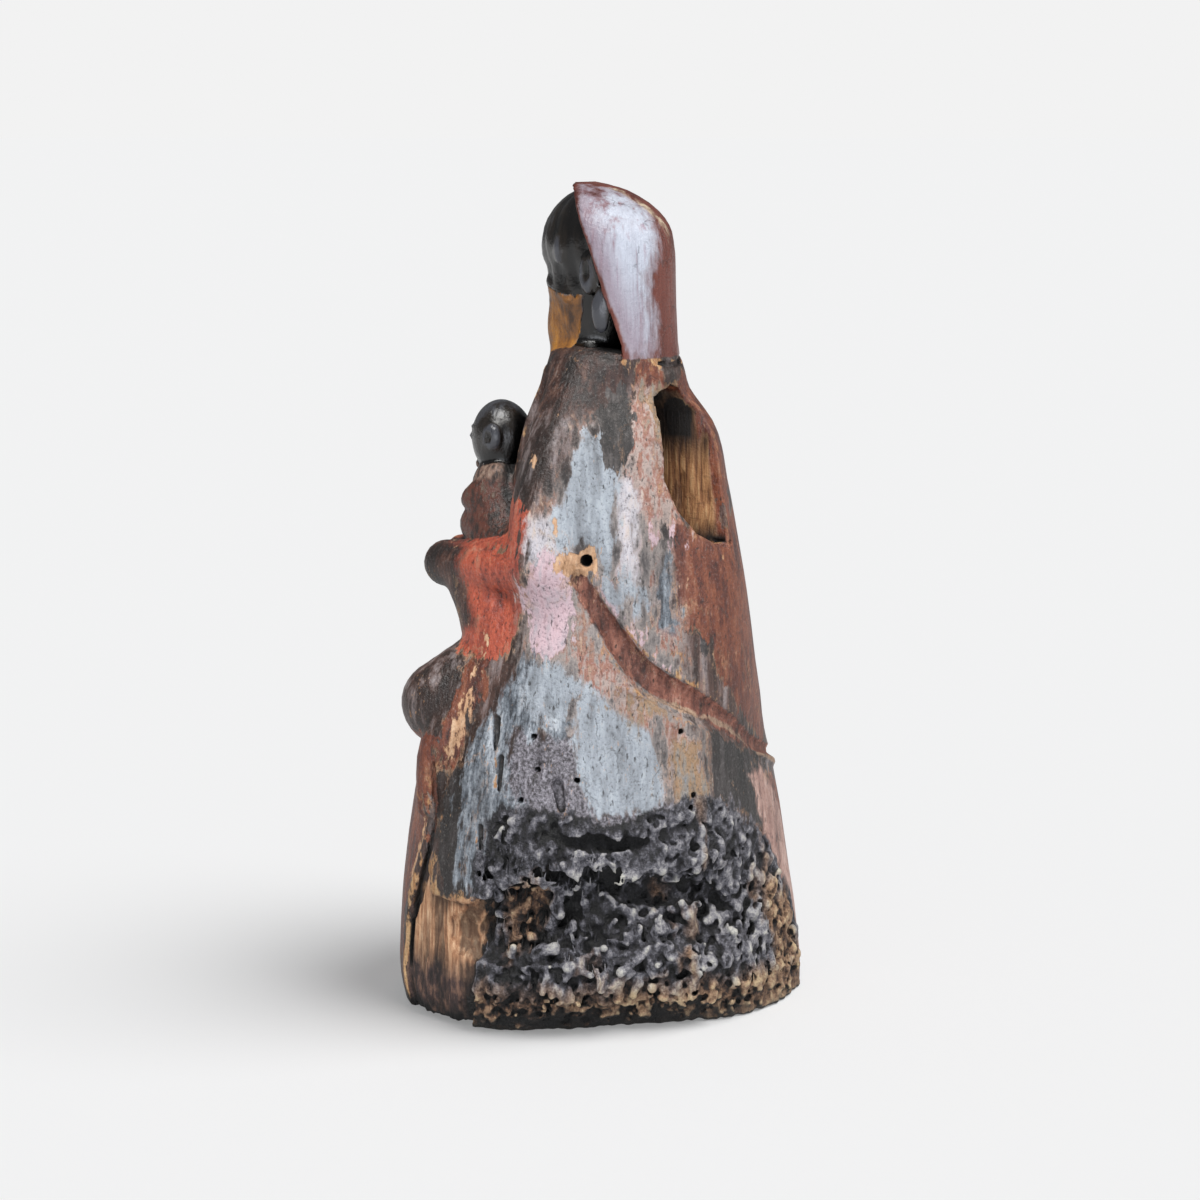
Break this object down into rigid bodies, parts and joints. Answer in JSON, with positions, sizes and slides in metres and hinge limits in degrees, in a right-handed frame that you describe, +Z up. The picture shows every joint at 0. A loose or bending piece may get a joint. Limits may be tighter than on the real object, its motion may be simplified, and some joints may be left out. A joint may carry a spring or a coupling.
{
  "type": "carved wooden bodhisattva statue",
  "caption": "Seated hooded bodhisattva holding a child, carved from one block of lacquered wood, with a hollow in the back and a rotted, insect-eaten foot.",
  "frame": {"origin": "middle of the footprint on the underside", "axes": "+Z up; the figure faces -Y, so its left hand is at +X and its back at +Y"},
  "size_m": [0.1114, 0.1072, 0.2399],
  "materials": {
    "lacquered_wood": "worn brown, red and black lacquer over bare and rotted wood"
  },
  "bodies": {
    "root": {"bodhisattva_statue": "lacquered_wood"}
  },
  "joints": []
}
